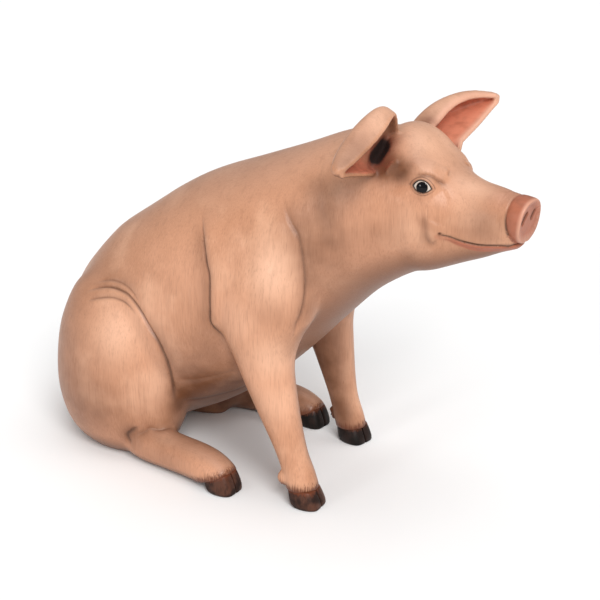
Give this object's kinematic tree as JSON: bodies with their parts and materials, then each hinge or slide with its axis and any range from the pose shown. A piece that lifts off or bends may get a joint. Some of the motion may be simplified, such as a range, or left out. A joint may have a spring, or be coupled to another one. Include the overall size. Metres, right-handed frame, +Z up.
{
  "type": "seated pig statue",
  "caption": "Life-size painted resin statue of a pig sitting on its haunches, head raised, ears spread, forelegs upright and cloven hooves on the floor.",
  "frame": {"origin": "on the floor, under the middle of the statue's box", "axes": "+X the way the pig faces, +Y its left side, +Z up"},
  "size_m": [1.1552, 0.5362, 0.8581],
  "materials": {
    "skin": "hand-painted resin, satin, with brown airbrushed creases and fine painted hairs",
    "snout_pink": "painted resin, satin pink",
    "ear_skin": "painted resin, satin, pink inside",
    "hoof": "painted resin, dark brown, semi-gloss",
    "eye_gloss": "glossy black with a white rim"
  },
  "bodies": {
    "root": {"head": "skin", "neck": "skin", "trunk": "skin", "tail": "skin", "snout": "snout_pink", "ear_left": "ear_skin", "eye_left": "eye_gloss", "foreleg_left": "skin", "thigh_left": "skin", "hindfoot_left": "skin", "foreclaw_left_inner": "hoof", "foreclaw_left_outer": "hoof", "hindclaw_left_inner": "hoof", "hindclaw_left_outer": "hoof", "ear_right": "ear_skin", "eye_right": "eye_gloss", "foreleg_right": "skin", "thigh_right": "skin", "hindfoot_right": "skin", "foreclaw_right_inner": "hoof", "foreclaw_right_outer": "hoof", "hindclaw_right_inner": "hoof", "hindclaw_right_outer": "hoof"}
  },
  "joints": []
}
